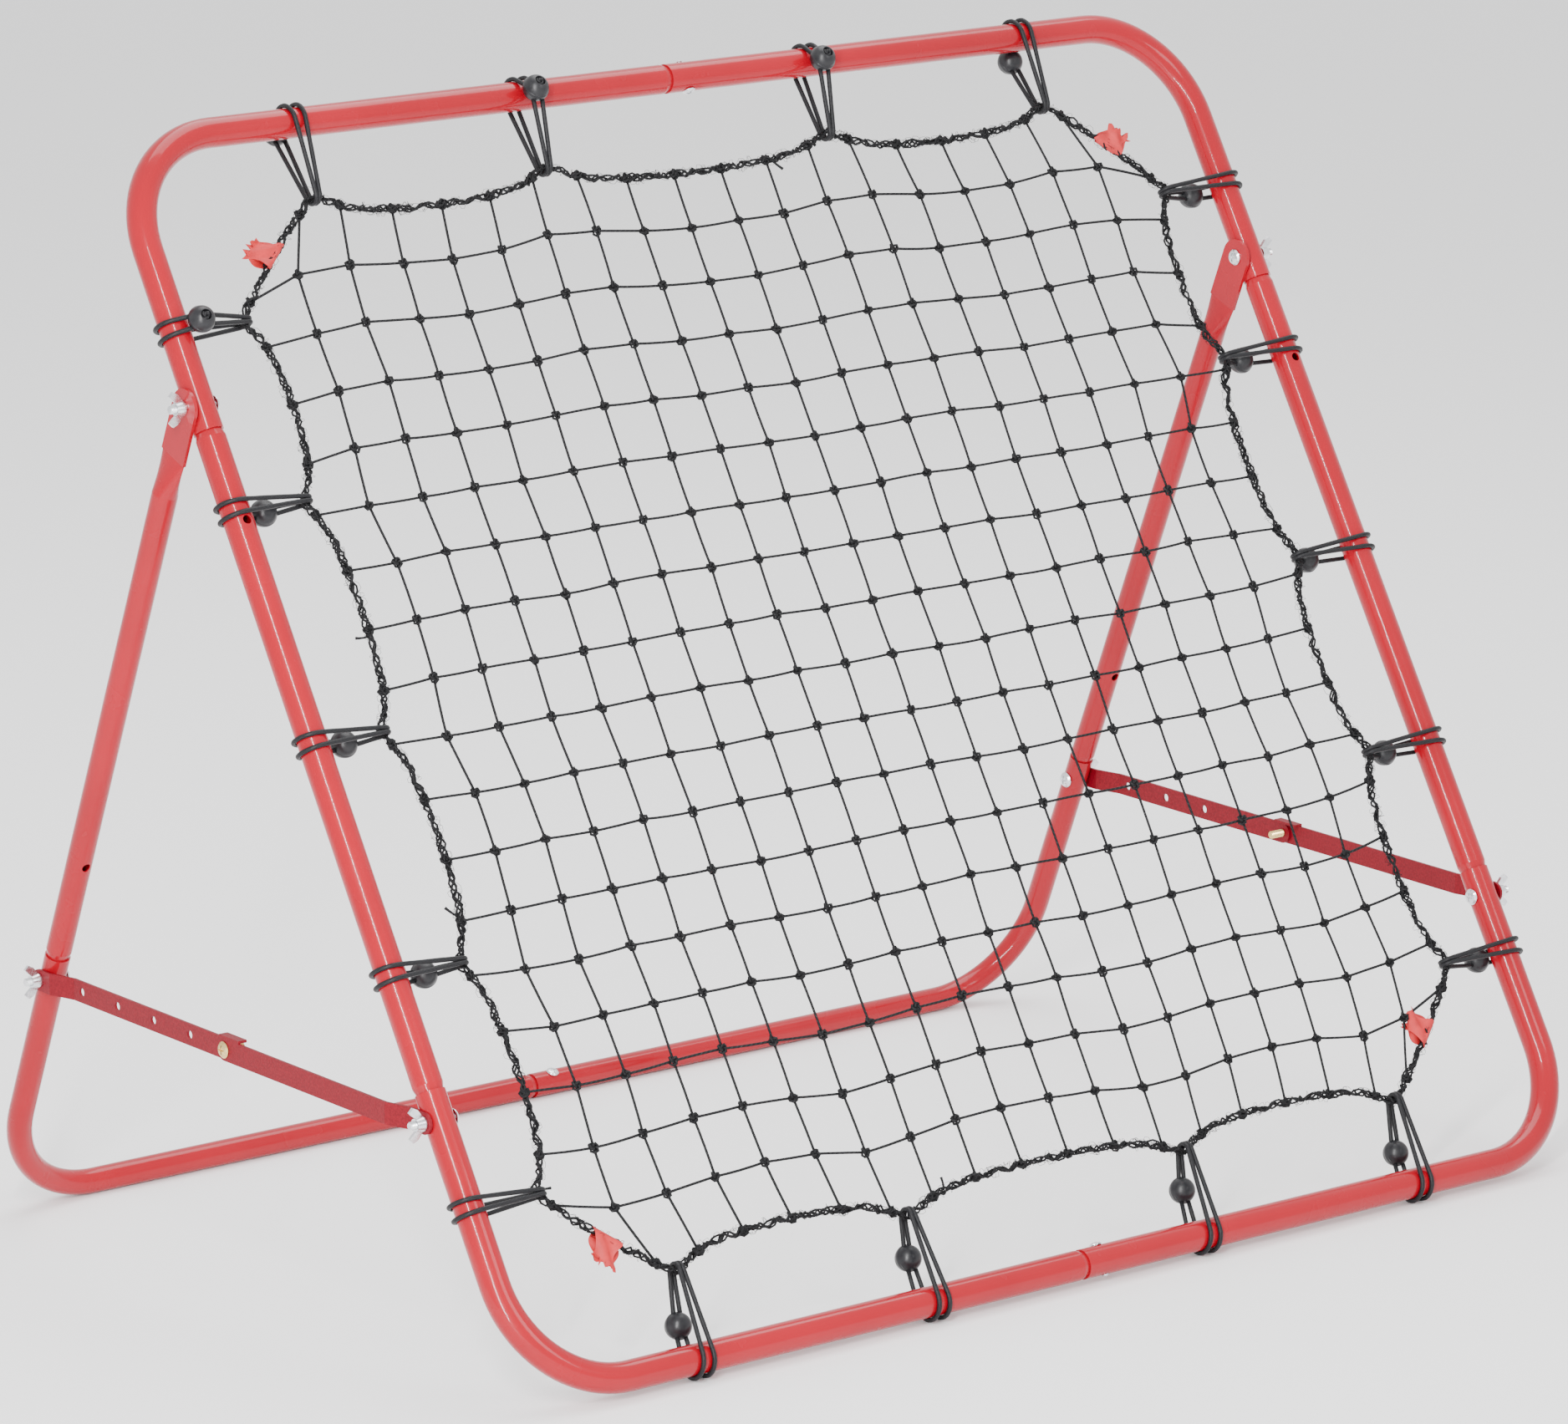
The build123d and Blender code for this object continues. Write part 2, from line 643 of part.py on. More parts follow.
# each bungee: its tube end's shift along the tube, then its ball's angle round the tube from
# the net's side, how far the ball stands off the tube, and before (+1) or behind (-1) the frame
top_bungees = (
    (2.0, radians(96), 0.5, -1),
    (0.0, radians(82), 0.5, 1),
    (3.0, radians(74), 0.5, 1),
    (0.0, radians(53), 0.3, -1),
)
bottom_bungees = (
    (-6.0, radians(27), 10.0, -1),
    (-3.0, radians(21), 17.5, -1),
    (-8.0, radians(20), 19.0, -1),
    (-7.0, radians(27), 9.5, -1),
)
left_bungees = (
    (0.0, radians(53), 0.3, -1),
    (0.0, radians(21), 17.5, -1),
    (0.0, radians(22), 15.5, -1),
    (0.0, radians(24), 14.0, -1),
    (0.0, radians(61), 1.5, 1),
)
right_bungees = (
    (0.0, radians(53), 0.3, -1),
    (0.0, radians(24), 14.0, -1),
    (0.0, radians(22), 20.0, -1),
    (0.0, radians(24), 14.0, -1),
    (0.0, radians(40), 5.0, -1),
)
sides = {
    "top": (top_ties, (1, 0), top_bungees),
    "right": (right_ties, (0, 1), right_bungees),
    "bottom": (bottom_ties, (1, 0), bottom_bungees),
    "left": (left_ties, (0, 1), left_bungees),
}


def rail_point(word, tie, shift):
    """Where a tie's bungee goes round its tube."""
    places = {
        "top": (tie[0] + shift, line_height),
        "bottom": (tie[0] + shift, 0.0),
        "left": (-half_width, tie[1] + shift),
        "right": (half_width, tie[1] + shift),
    }
    return places[word]


bungee_groups = {}
for word, (ties, rail, balls) in sides.items():
    cords = []
    spheres = []
    for tie, (shift, angle, off, front) in zip(ties, balls):
        strands, sphere = bungee(rail_point(word, tie, shift), tie, rail, angle, off, front)
        cords += strands
        spheres.append(sphere)
    bungee_groups[f"{word}_bungee_cords"] = cords
    bungee_groups[f"{word}_bungee_balls"] = spheres

# ---- tags folded over the hem near the corners of the net ----
def tag(first, second):
    """Short tape sleeve round the hem, with its two tails pressed flat, away from the net."""
    start = along(front_plane, *first)
    finish = along(front_plane, *second)
    inward = (along(front_plane, 0, line_height / 2) - (start + finish) * 0.5).normalized()
    run = (finish - start).normalized()
    across_run = (inward - run * inward.dot(run)).normalized()
    middle = (start + finish) * 0.5 - across_run * corner_bulge
    seat = Plane(origin=middle, x_dir=across_run, z_dir=run)
    sleeve = hem_size / 2 + tag_gap
    with BuildPart() as piece:
        with BuildSketch(seat):
            Circle(sleeve + tag_thick)
            with Locations((-(sleeve + tag_tail) / 2, 0)):
                Rectangle(sleeve + tag_tail, 2 * tag_thick)
            Circle(sleeve, mode=Mode.SUBTRACT)
        extrude(amount=tag_length / 2, both=True)
    return piece.part


tag_ends = [
    (left_ties[-1], top_ties[0]),
    (top_ties[-1], right_ties[-1]),
    (right_ties[0], bottom_ties[-1]),
    (bottom_ties[0], left_ties[0]),
]
bungee_groups["net_corner_tags"] = [tag(first, second) for first, second in tag_ends]

for name, solids in bungee_groups.items():
    pieces.append(Compound(children=solids, label=name))

# ---- the origin: middle of the whole object's box, on the floor ----
whole = Compound([solid for piece in pieces for solid in piece.solids()]).bounding_box(optimal=True)
origin = Vector((whole.min.X + whole.max.X) / 2, (whole.min.Y + whole.max.Y) / 2, whole.min.Z)
for piece in pieces:
    placed = Location(-origin) * piece
    export_step(placed, f"parts/{piece.label}.step")
print("pieces", len(pieces), "origin", origin, "size", whole.size)
print("lean", degrees(lean), "apex", degrees(apex), "leg_angle", degrees(leg_angle))
print("pivot", pivot_y, pivot_z, "front bolt", front_bolt_y, front_bolt_z)
print("rear bolt", rear_bolt_y, rear_bolt_z, "lock", lock_y, lock_z)
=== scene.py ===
import bpy
import json
import math
import random
import numpy as np
from mathutils import Matrix, Vector


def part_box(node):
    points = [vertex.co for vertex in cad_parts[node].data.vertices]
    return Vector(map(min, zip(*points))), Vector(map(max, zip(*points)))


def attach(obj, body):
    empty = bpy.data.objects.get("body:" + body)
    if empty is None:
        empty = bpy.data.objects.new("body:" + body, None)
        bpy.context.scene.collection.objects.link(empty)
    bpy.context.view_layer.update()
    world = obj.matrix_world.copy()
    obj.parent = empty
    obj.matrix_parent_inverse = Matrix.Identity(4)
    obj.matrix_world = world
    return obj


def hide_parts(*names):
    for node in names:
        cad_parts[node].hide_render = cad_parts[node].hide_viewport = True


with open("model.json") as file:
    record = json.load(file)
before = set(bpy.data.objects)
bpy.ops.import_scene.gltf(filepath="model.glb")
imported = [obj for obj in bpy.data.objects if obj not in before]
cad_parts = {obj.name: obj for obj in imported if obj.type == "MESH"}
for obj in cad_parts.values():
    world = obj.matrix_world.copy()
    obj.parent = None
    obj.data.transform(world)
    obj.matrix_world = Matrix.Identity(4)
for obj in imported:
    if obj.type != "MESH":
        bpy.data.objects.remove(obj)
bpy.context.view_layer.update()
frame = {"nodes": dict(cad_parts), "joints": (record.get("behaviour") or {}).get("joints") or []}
nodes = frame["nodes"]
joints = {joint["name"]: joint for joint in frame["joints"]}
print("stage: frame loaded,", len(nodes), "nodes")


# places taken from the frame
braceHeight = 0.202                       # bottom bar to strut bolt, along the frame
pivotAt = Vector(joints["stand_fold"]["pos_m"])
strutBoltAt = Vector(joints["left_front_bar_turn"]["pos_m"])
leftLow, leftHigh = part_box("left_side_tube")
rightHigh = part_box("right_side_tube")[1]
tubeRadius = (leftHigh.x - leftLow.x) / 2
middleX = (leftLow.x + rightHigh.x) / 2
halfWidth = (rightHigh.x - leftLow.x) / 2 - tubeRadius
frameUp = Vector((0, pivotAt.y - strutBoltAt.y, pivotAt.z - strutBoltAt.z)).normalized()
frameOut = Vector((0, -frameUp.z, frameUp.y))       # away from the stand, to the player
frameAcross = Vector((1, 0, 0))
frameFoot = Vector((middleX, strutBoltAt.y, strutBoltAt.z)) - frameUp * braceHeight
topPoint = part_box("top_left_corner_tube")[1].z
lineHeight = (topPoint - tubeRadius - frameFoot.z) / frameUp.z


def place(u, v, w=0.0):
    # a point of the front frame: across, up along the lean, out to the player
    return frameFoot + frameAcross * u + frameUp * v + frameOut * w


# camera, floor and lights
cameraSet = {
    "at": (-3.4521, -4.3333, 1.646),
    "yaw": 38.45,
    "pitch": -13.02,
    "roll": -0.22,
    "lens": 177.3,
    "sensor": 36.0,
    "far": 60.0,
}


def makeCamera():
    yaw = math.radians(cameraSet["yaw"])
    pitch = math.radians(cameraSet["pitch"])
    roll = math.radians(cameraSet["roll"])
    forward = Vector((math.sin(yaw) * math.cos(pitch), math.cos(yaw) * math.cos(pitch), math.sin(pitch)))
    right = Vector((math.cos(yaw), -math.sin(yaw), 0))
    up = right.cross(forward)
    rolledRight = right * math.cos(roll) + up * math.sin(roll)
    rolledUp = up * math.cos(roll) - right * math.sin(roll)
    turn = Matrix((rolledRight, rolledUp, -forward)).transposed().to_4x4()
    lensData = bpy.data.cameras.new("viewCamera")
    lensData.lens = cameraSet["lens"]
    lensData.sensor_width = cameraSet["sensor"]
    lensData.clip_end = cameraSet["far"]
    camera = bpy.data.objects.new("viewCamera", lensData)
    bpy.context.scene.collection.objects.link(camera)
    camera.matrix_world = Matrix.Translation(Vector(cameraSet["at"])) @ turn
    bpy.context.scene.camera = camera


studioSet = {
    "floorSize": 30.0,
    "floorColour": (0.90, 0.90, 0.905, 1),
    "floorRoughness": 0.7,
    "skyColour": (1.0, 1.0, 1.0, 1),
    "skyStrength": 1.5,
    # name, place, aimed at, width, height, watts
    "lights": (
        ("overheadSoftbox", (0.8, 0.6, 3.2), (0, 0, 0.3), 2.4, 2.4, 80),
        ("leftStrip", (-2.2, -1.9, 1.5), (0, 0, 0.45), 0.10, 2.6, 150),
        ("frontFill", (0.8, -3.6, 2.2), (0, 0, 0.4), 1.2, 1.2, 30),
    ),
}


def makeStudio():
    bpy.ops.mesh.primitive_plane_add(size=studioSet["floorSize"], location=(0, 0, 0))
    floor = bpy.context.object
    floor.name = "studioFloor"
    paint = bpy.data.materials.new("studioFloorPaint")
    paint.use_nodes = True
    shader = paint.node_tree.nodes["Principled BSDF"]
    shader.inputs["Base Color"].default_value = studioSet["floorColour"]
    shader.inputs["Roughness"].default_value = studioSet["floorRoughness"]
    floor.data.materials.append(paint)
    world = bpy.data.worlds.new("studioSky")
    world.use_nodes = True
    sky = world.node_tree.nodes["Background"]
    sky.inputs["Color"].default_value = studioSet["skyColour"]
    sky.inputs["Strength"].default_value = studioSet["skyStrength"]
    bpy.context.scene.world = world
    for name, at, aim, width, height, watts in studioSet["lights"]:
        lamp = bpy.data.lights.new(name, "AREA")
        lamp.shape = "RECTANGLE"
        lamp.size = width
        lamp.size_y = height
        lamp.energy = watts
        holder = bpy.data.objects.new(name, lamp)
        bpy.context.scene.collection.objects.link(holder)
        holder.location = at
        holder.rotation_euler = (Vector(aim) - Vector(at)).to_track_quat("-Z", "Y").to_euler()


makeCamera()
makeStudio()
print("stage: camera, floor and lights")


# finishes
def newFinish(name):
    finish = bpy.data.materials.new(name)
    finish.use_nodes = True
    return finish, finish.node_tree.nodes, finish.node_tree.links


def addNode(tree, kind, **values):
    # a node with its sockets and settings filled in by name
    node = tree.new(kind)
    for key, value in values.items():
        if key in node.inputs:
            node.inputs[key].default_value = value
        else:
            setattr(node, key, value)
    return node


def addRamp(tree, stops):
    ramp = tree.new("ShaderNodeValToRGB")
    steps = ramp.color_ramp.elements
    while len(steps) < len(stops):
        steps.new(0.5)
    for step, (spot, colour) in zip(steps, stops):
        step.position = spot
        step.color = colour
    return ramp


def grey(value):
    return (value, value, value, 1)


def noiseOn(tree, links, coords, scale, detail=3.0, rough=0.55):
    noise = addNode(tree, "ShaderNodeTexNoise", Scale=scale, Detail=detail, Roughness=rough)
    links.new(coords, noise.inputs["Vector"])
    return noise.outputs["Fac"]


def tintOn(tree, links, fac, stops, socket):
    ramp = addRamp(tree, stops)
    links.new(fac, ramp.inputs["Fac"])
    links.new(ramp.outputs["Color"], socket)


def bumpOn(tree, links, height, shader, strength, distance):
    bump = addNode(tree, "ShaderNodeBump", Strength=strength, Distance=distance)
    links.new(height, bump.inputs["Height"])
    links.new(bump.outputs["Normal"], shader.inputs["Normal"])


# gloss enamel with a faint orange peel; scales are cells to the metre
enamelSet = {
    "colours": ((0.35, (0.29, 0.0004, 0.008, 1)), (0.65, (0.33, 0.0006, 0.010, 1))),
    "cloudScale": 9.0,
    "roughness": ((0.3, grey(0.20)), (0.7, grey(0.30))),
    "roughScale": 34.0,
    "specular": 0.15,
    "coat": 0.4,
    "coatRoughness": 0.05,
    "peelScale": 260.0, "peel": 0.10, "peelDepth": 0.0004,
}


def makeEnamel():
    finish, tree, links = newFinish("glossEnamel")
    shader = tree["Principled BSDF"]
    coords = tree.new("ShaderNodeTexCoord").outputs["Object"]
    cloud = noiseOn(tree, links, coords, enamelSet["cloudScale"])
    tintOn(tree, links, cloud, enamelSet["colours"], shader.inputs["Base Color"])
    gloss = noiseOn(tree, links, coords, enamelSet["roughScale"])
    tintOn(tree, links, gloss, enamelSet["roughness"], shader.inputs["Roughness"])
    shader.inputs["Specular IOR Level"].default_value = enamelSet["specular"]
    shader.inputs["Coat Weight"].default_value = enamelSet["coat"]
    shader.inputs["Coat Roughness"].default_value = enamelSet["coatRoughness"]
    peel = noiseOn(tree, links, coords, enamelSet["peelScale"], 2.0)
    bumpOn(tree, links, peel, shader, enamelSet["peel"], enamelSet["peelDepth"])
    return finish


# wrinkle enamel of the strut bars: darker and matt, with a fine grain
strutPaintSet = {
    "colours": ((0.38, (0.13, 0.0010, 0.006, 1)), (0.62, (0.20, 0.0020, 0.010, 1))),
    "grainScale": 620.0, "grain": 0.35, "grainDepth": 0.0005,
    "roughness": 0.5,
    "specular": 0.2,
}


def makeStrutPaint():
    finish, tree, links = newFinish("wrinkleEnamel")
    shader = tree["Principled BSDF"]
    coords = tree.new("ShaderNodeTexCoord").outputs["Object"]
    grain = noiseOn(tree, links, coords, strutPaintSet["grainScale"], 4.0, 0.65)
    tintOn(tree, links, grain, strutPaintSet["colours"], shader.inputs["Base Color"])
    shader.inputs["Roughness"].default_value = strutPaintSet["roughness"]
    shader.inputs["Specular IOR Level"].default_value = strutPaintSet["specular"]
    bumpOn(tree, links, grain, shader, strutPaintSet["grain"], strutPaintSet["grainDepth"])
    return finish


# bright and yellow zinc: two tones clouded together
zincSet = {
    "name": "brightZinc",
    "colours": ((0.32, (0.62, 0.63, 0.66, 1)), (0.68, (0.86, 0.87, 0.88, 1))),
    "roughness": ((0.3, grey(0.16)), (0.7, grey(0.34))),
    "stainScale": 190.0, "roughScale": 420.0, "stain": 0.12, "stainDepth": 0.0003,
}
yellowZincSet = dict(
    zincSet,
    name="yellowZinc",
    colours=((0.32, (0.60, 0.42, 0.16, 1)), (0.68, (0.86, 0.66, 0.30, 1))),
    roughness=((0.3, grey(0.22)), (0.7, grey(0.36))),
)


def makeMetal(settings):
    finish, tree, links = newFinish(settings["name"])
    shader = tree["Principled BSDF"]
    coords = tree.new("ShaderNodeTexCoord").outputs["Object"]
    stain = noiseOn(tree, links, coords, settings["stainScale"], 5.0, 0.65)
    tintOn(tree, links, stain, settings["colours"], shader.inputs["Base Color"])
    rough = noiseOn(tree, links, coords, settings["roughScale"])
    tintOn(tree, links, rough, settings["roughness"], shader.inputs["Roughness"])
    shader.inputs["Metallic"].default_value = 1.0
    bumpOn(tree, links, stain, shader, settings["stain"], settings["stainDepth"])
    return finish


def makeCordFinish(name, settings):
    # strands laid round the cord at a slant, from the piece's own UV: round and along
    finish, tree, links = newFinish(name)
    shader = tree["Principled BSDF"]
    coords = tree.new("ShaderNodeUVMap").outputs["UV"]
    heights = []
    for turnWay in settings["ways"]:
        lay = addNode(tree, "ShaderNodeMapping")
        lay.inputs["Scale"].default_value = (turnWay * settings["strands"], 1 / settings["pitch"], 1)
        links.new(coords, lay.inputs["Vector"])
        slant = addNode(tree, "ShaderNodeVectorMath", operation="DOT_PRODUCT")
        slant.inputs[1].default_value = (1, 1, 0)
        links.new(lay.outputs["Vector"], slant.inputs[0])
        ridge = addNode(tree, "ShaderNodeMath", operation="PINGPONG")
        ridge.inputs[1].default_value = 0.5
        links.new(slant.outputs["Value"], ridge.inputs[0])
        heights.append(ridge.outputs["Value"])
    height = heights[0]
    if len(heights) > 1:
        cross = addNode(tree, "ShaderNodeMath", operation="MAXIMUM")
        links.new(heights[0], cross.inputs[0])
        links.new(heights[1], cross.inputs[1])
        height = cross.outputs["Value"]
    spots = tree.new("ShaderNodeTexCoord").outputs["Object"]
    fleck = noiseOn(tree, links, spots, settings["fleckScale"], 3.0, 0.7)
    mixed = addNode(tree, "ShaderNodeMath", operation="MULTIPLY")
    links.new(height, mixed.inputs[0])
    links.new(fleck, mixed.inputs[1])
    tintOn(tree, links, mixed.outputs["Value"], settings["stops"], shader.inputs["Base Color"])
    shader.inputs["Roughness"].default_value = settings["roughness"]
    shader.inputs["Specular IOR Level"].default_value = settings["specular"]
    bumpOn(tree, links, height, shader, settings["bump"], settings["depth"])
    return finish


twineSet = {
    "ways": (1,), "strands": 2, "pitch": 0.0042, "fleckScale": 700.0,
    "stops": (
        (0.04, (0.006, 0.006, 0.007, 1)),
        (0.24, (0.014, 0.014, 0.015, 1)),
        (0.36, (0.075, 0.075, 0.08, 1)),
    ),
    "roughness": 0.62, "specular": 0.15, "bump": 0.9, "depth": 0.0005,
}
hemSet = dict(twineSet, pitch=0.0032, fleckScale=900.0)
elasticSet = {
    "ways": (1, -1), "strands": 6, "pitch": 0.0034, "fleckScale": 500.0,
    "stops": ((0.05, (0.006, 0.006, 0.007, 1)), (0.30, (0.016, 0.016, 0.018, 1))),
    "roughness": 0.46, "specular": 0.2, "bump": 0.35, "depth": 0.0003,
}


# moulded black plastic, satin, with a faint cloudy gloss
plasticSet = {
    "colours": ((0.35, (0.008, 0.008, 0.010, 1)), (0.65, (0.015, 0.015, 0.017, 1))),
    "roughness": ((0.3, grey(0.30)), (0.7, grey(0.42))),
    "cloudScale": 150.0,
    "specular": 0.35,
    "grainScale": 800.0, "grain": 0.12, "grainDepth": 0.0003,
}


def makePlastic():
    finish, tree, links = newFinish("mouldedPlastic")
    shader = tree["Principled BSDF"]
    coords = tree.new("ShaderNodeTexCoord").outputs["Object"]
    cloud = noiseOn(tree, links, coords, plasticSet["cloudScale"], 4.0)
    tintOn(tree, links, cloud, plasticSet["colours"], shader.inputs["Base Color"])
    tintOn(tree, links, cloud, plasticSet["roughness"], shader.inputs["Roughness"])
    shader.inputs["Specular IOR Level"].default_value = plasticSet["specular"]
    grain = noiseOn(tree, links, coords, plasticSet["grainScale"])
    bumpOn(tree, links, grain, shader, plasticSet["grain"], plasticSet["grainDepth"])
    return finish


# thin woven tape, creased
tapeSet = {
    "colours": ((0.3, (0.38, 0.007, 0.009, 1)), (0.7, (0.53, 0.015, 0.018, 1))),
    "creaseScale": 120.0,
    "roughness": 0.6,
    "weaveScale": 1500.0, "weave": 0.3, "weaveDepth": 0.0003,
}


def makeTape():
    finish, tree, links = newFinish("redTape")
    shader = tree["Principled BSDF"]
    coords = tree.new("ShaderNodeTexCoord").outputs["Object"]
    crease = noiseOn(tree, links, coords, tapeSet["creaseScale"])
    tintOn(tree, links, crease, tapeSet["colours"], shader.inputs["Base Color"])
    shader.inputs["Roughness"].default_value = tapeSet["roughness"]
    weave = noiseOn(tree, links, coords, tapeSet["weaveScale"])
    bumpOn(tree, links, weave, shader, tapeSet["weave"], tapeSet["weaveDepth"])
    return finish


enamel = makeEnamel()
strutPaint = makeStrutPaint()
zinc = makeMetal(zincSet)
brassZinc = makeMetal(yellowZincSet)
twine = makeCordFinish("netTwine", twineSet)
hemYarn = makeCordFinish("hemYarn", hemSet)
elastic = makeCordFinish("elasticCover", elasticSet)
plastic = makePlastic()
tape = makeTape()


def finishNode(node, finish):
    slots = nodes[node].data.materials
    if len(slots) == 0:
        slots.append(finish)
    for number in range(len(slots)):
        slots[number] = finish


for node in nodes:
    if "locking_screw" in node:
        finishNode(node, brassZinc)
    elif node.endswith(("wing_nut", "_bolt", "joint_screw")):
        finishNode(node, zinc)
    elif node.endswith("_bar"):
        finishNode(node, strutPaint)
    elif node.endswith(("tube", "leg")):
        finishNode(node, enamel)
    elif node.endswith("balls"):
        finishNode(node, plastic)
print("stage: finishes")


# cords as swept tubes
def newStore():
    return {"verts": [], "faces": [], "uvs": []}


def sweepCord(store, path, radius, sides, closed=False):
    # rings carried along the path without twist; radius may change from ring to ring
    count = len(path)
    radii = radius if isinstance(radius, list) else [radius] * count
    tangents = []
    for i in range(count):
        before = path[i - 1] if closed or i > 0 else path[i]
        after = path[(i + 1) % count] if closed or i < count - 1 else path[i]
        tangents.append((after - before).normalized())
    arms = [tangents[0].orthogonal().normalized()]
    for i in range(1, count):
        arm = arms[-1] - tangents[i] * arms[-1].dot(tangents[i])
        arms.append(arm.normalized())
    drift = 0.0
    if closed:
        last = arms[-1] - tangents[0] * arms[-1].dot(tangents[0])
        drift = math.atan2(last.cross(arms[0]).dot(tangents[0]), last.dot(arms[0]))
    first = len(store["verts"])
    lengths = [0.0]
    for i in range(count):
        spare = drift * i / count
        arm = arms[i] * math.cos(spare) + tangents[i].cross(arms[i]) * math.sin(spare)
        other = tangents[i].cross(arm)
        for k in range(sides):
            turn = 2 * math.pi * k / sides
            store["verts"].append(path[i] + (arm * math.cos(turn) + other * math.sin(turn)) * radii[i])
        lengths.append(lengths[-1] + (path[(i + 1) % count] - path[i]).length)
    rings = count if closed else count - 1
    for i in range(rings):
        here = first + i * sides
        there = first + ((i + 1) % count) * sides
        for k in range(sides):
            nextK = (k + 1) % sides
            store["faces"].append((here + k, here + nextK, there + nextK, there + k))
            left = k / sides
            right = (k + 1) / sides
            low = lengths[i]
            high = lengths[i + 1]
            store["uvs"].append(((left, low), (right, low), (right, high), (left, high)))
    if not closed:
        for ring, flip in ((0, True), (count - 1, False)):
            rim = [first + ring * sides + k for k in range(sides)]
            store["faces"].append(tuple(reversed(rim)) if flip else tuple(rim))
            store["uvs"].append(tuple((k / sides, lengths[ring]) for k in range(sides)))


def pieceFrom(store, name, finish, body, replaced=()):
    mesh = bpy.data.meshes.new(name)
    mesh.from_pydata([tuple(vert) for vert in store["verts"]], [], store["faces"])
    uvLayer = mesh.uv_layers.new(name="UVMap")
    flat = [value for face in store["uvs"] for corner in face for value in corner]
    uvLayer.data.foreach_set("uv", flat)
    mesh.polygons.foreach_set("use_smooth", [True] * len(mesh.polygons))
    mesh.materials.append(finish)
    piece = bpy.data.objects.new(name, mesh)
    bpy.context.scene.collection.objects.link(piece)
    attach(piece, body)
    if replaced:
        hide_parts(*replaced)
    return piece


# the hem's line
hemLine = {
    "marginSide": 0.054, "marginTop": 0.054, "marginBottom": 0.060,
    # ties: shares of the half width along the top and bottom, of the height up the sides
    "topPlaces": (-0.692, -0.273, 0.267, 0.697),
    "bottomPlaces": (-0.697, -0.274, 0.258, 0.683),
    "leftPlaces": (0.147, 0.329, 0.513, 0.700, 0.846),
    "rightPlaces": (0.168, 0.352, 0.524, 0.701, 0.850),
    "depth": 0.021,               # hem pulled in between two bungees
    "steepShare": 0.62,           # of that, what it drops close beside a tie
    "cornerBow": 0.004,
    "cornerStep": 0.002,
    "cornerRun": 0.02,            # a run that moves this much both ways crosses a corner
    "sink": 0.0019,               # the bend at a tie stays this far inside it
    "sinkRun": 0.012,             # and how far from the tie that reaches
    "steps": 48,                  # points between two ties
}


def tieRing():
    high = lineHeight - hemLine["marginTop"]
    low = hemLine["marginBottom"]
    side = halfWidth - hemLine["marginSide"]
    top = [(share * halfWidth, high) for share in hemLine["topPlaces"]]
    bottom = [(share * halfWidth, low) for share in hemLine["bottomPlaces"]]
    left = [(-side, share * lineHeight) for share in hemLine["leftPlaces"]]
    right = [(side, share * lineHeight) for share in hemLine["rightPlaces"]]
    return top, right, bottom, left


topTies, rightTies, bottomTies, leftTies = tieRing()
ring = topTies + rightTies[::-1] + bottomTies[::-1] + leftTies


def hemPoint(number, share):
    # point of the hem between two ties: steep beside a tie, then a shallow scallop
    here = Vector(ring[number % len(ring)])
    there = Vector(ring[(number + 1) % len(ring)])
    run = there - here
    inward = Vector((run.y, -run.x)).normalized()
    corner = abs(run.x) > hemLine["cornerRun"] and abs(run.y) > hemLine["cornerRun"]
    off = abs(2 * share - 1)
    steep = 1 - off**6
    shallow = 1 - off**2
    if corner:
        deep = -hemLine["cornerBow"] * shallow + hemLine["cornerStep"] * (1 - off**12)
    else:
        steepShare = hemLine["steepShare"]
        deep = hemLine["depth"] * (steepShare * steep + (1 - steepShare) * shallow)
    spot = here + run * share + inward * deep
    nearTie = math.exp(-((1 - off) * run.length / hemLine["sinkRun"]) ** 2)
    middle = Vector((0, lineHeight / 2))
    return spot + (middle - spot).normalized() * hemLine["sink"] * nearTie


def hemOutline():
    # dense points all round, with the distance run so far; starts in the top left corner
    spots = []
    steps = hemLine["steps"]
    lastSpan = len(ring) - 1
    for step in range(steps // 2, steps):
        spots.append(hemPoint(lastSpan, step / steps))
    for number in range(len(ring) - 1):
        for step in range(steps):
            spots.append(hemPoint(number, step / steps))
    for step in range(steps // 2):
        spots.append(hemPoint(lastSpan, step / steps))
    return spots


outline = hemOutline()
outlineRun = [0.0]
for here, there in zip(outline, outline[1:] + outline[:1]):
    outlineRun.append(outlineRun[-1] + (there - here).length)
hemLength = outlineRun[-1]


def onHem(distance):
    # place and direction on the hem, a given way round from the top left corner
    distance = distance % hemLength
    spot = int(np.searchsorted(outlineRun, distance, side="right")) - 1
    spot = min(spot, len(outline) - 1)
    here = outline[spot]
    there = outline[(spot + 1) % len(outline)]
    span = outlineRun[spot + 1] - outlineRun[spot]
    share = (distance - outlineRun[spot]) / span
    return here + (there - here) * share, (there - here).normalized()


print("stage: hem line, length", round(hemLength, 3))

# net: square mesh let go until its threads are even
netSet = {
    "columns": 19, "rows": 18,
    "slack": 0.90,                # thread length against the space it has
    "turns": 420,                 # relaxing steps
    "threadRadius": 0.00104,
    "threadSides": 6,
    "knotSize": 0.0035,
    "hemKnotSize": 0.0039,
    "wander": 0.0009,             # how far knots sit off their place, less out of the plane
    "wanderOut": 0.6,
    "easing": 0.24,               # share of the pull a knot gives way to in one step
    "bow": 0.0006,                # a thread's bow, and what it may rise
    "bowRise": 0.0002,
    "knotSteps": 18,
    "knotThick": 0.42,            # knot's thickness over its radius
}
random.seed(11)
columns = netSet["columns"]
rows = netSet["rows"]
sideSpans = (len(topTies), len(rightTies), len(bottomTies), len(leftTies))


